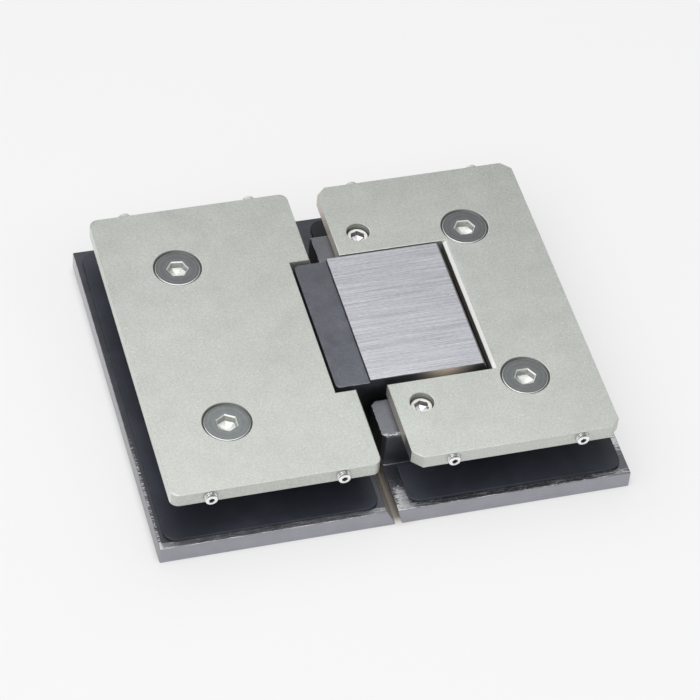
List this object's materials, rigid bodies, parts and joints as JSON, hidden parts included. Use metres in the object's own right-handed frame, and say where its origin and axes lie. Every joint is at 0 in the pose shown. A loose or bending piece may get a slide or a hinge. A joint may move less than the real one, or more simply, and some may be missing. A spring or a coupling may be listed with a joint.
{
  "type": "glass door hinge",
  "caption": "Glass-to-glass shower door hinge that clamps two glass panels and swings both ways about a pin, without its clamp covers.",
  "frame": {"origin": "middle of the closed hinge's rectangle, on the plane of the outer faces that it lies on", "axes": "+X across both leaves towards the door leaf, +Y along the pivot pin, +Z from the outer plates to the clamp plates"},
  "size_m": [0.1054, 0.09, 0.0182],
  "materials": {
    "satin_nickel": "fine satin, pale grey-green",
    "graphite_plate": "dark satin plating with worn edges",
    "brushed_graphite": "dark plating, brushed across the raised face",
    "screw_steel": "turned satin steel",
    "bright_steel": "bright plated steel",
    "gasket_rubber": "matt black sheet rubber",
    "nylon": "natural nylon",
    "brass": "turned brass",
    "spring_steel": "drawn steel wire"
  },
  "bodies": {
    "fixed_leaf": {"fixed_outer_plate": "graphite_plate", "fixed_outer_gasket": "gasket_rubber", "fixed_inner_gasket": "gasket_rubber", "fixed_clamp_plate": "satin_nickel", "fixed_clamp_screw_near": "screw_steel", "fixed_clamp_screw_far": "screw_steel", "fixed_sleeve_near": "nylon", "fixed_sleeve_far": "nylon", "fixed_cover_screw_near_left": "bright_steel", "fixed_cover_screw_near_right": "bright_steel", "fixed_cover_screw_far_left": "bright_steel", "fixed_cover_screw_far_right": "bright_steel", "pivot_block": "brushed_graphite", "block_screw_near": "screw_steel", "block_screw_far": "screw_steel", "pin_bush_near": "brass", "pin_bush_far": "brass", "thrust_washer_near": "nylon", "thrust_washer_far": "nylon", "detent_spring_near": "spring_steel", "detent_spring_far": "spring_steel", "spring_plug_near": "spring_steel", "spring_plug_far": "spring_steel"},
    "door_leaf": {"door_outer_plate": "graphite_plate", "door_outer_gasket": "gasket_rubber", "door_inner_gasket": "gasket_rubber", "door_clamp_plate": "satin_nickel", "door_clamp_screw_near": "screw_steel", "door_clamp_screw_far": "screw_steel", "door_sleeve_near": "nylon", "door_sleeve_far": "nylon", "door_cover_screw_near_left": "bright_steel", "door_cover_screw_near_right": "bright_steel", "door_cover_screw_far_left": "bright_steel", "door_cover_screw_far_right": "bright_steel", "pivot_pin": "bright_steel", "pin_set_screw_near": "bright_steel", "pin_set_screw_far": "bright_steel"},
    "near_plunger_body": {"plunger_near": "spring_steel"},
    "far_plunger_body": {"plunger_far": "spring_steel"}
  },
  "joints": [
    {"name": "door_swing", "type": "hinge", "parent": "fixed_leaf", "child": "door_leaf", "pos_m": [0.00925, 0, 0.0092], "axis": [0, 1, 0], "range_deg": [-90, 90]},
    {"name": "detent_near", "type": "slide", "parent": "fixed_leaf", "child": "near_plunger_body", "axis": [-1, 0, 0], "range_m": [0, 0.0007], "stiffness_N_per_m": 100, "springref_m": 0.0007},
    {"name": "detent_far", "type": "slide", "parent": "fixed_leaf", "child": "far_plunger_body", "axis": [-1, 0, 0], "range_m": [0, 0.0007], "stiffness_N_per_m": 100, "springref_m": 0.0007}
  ],
  "couplings": [
    {"joint": "detent_far", "follows": "detent_near", "ratio": 1}
  ]
}
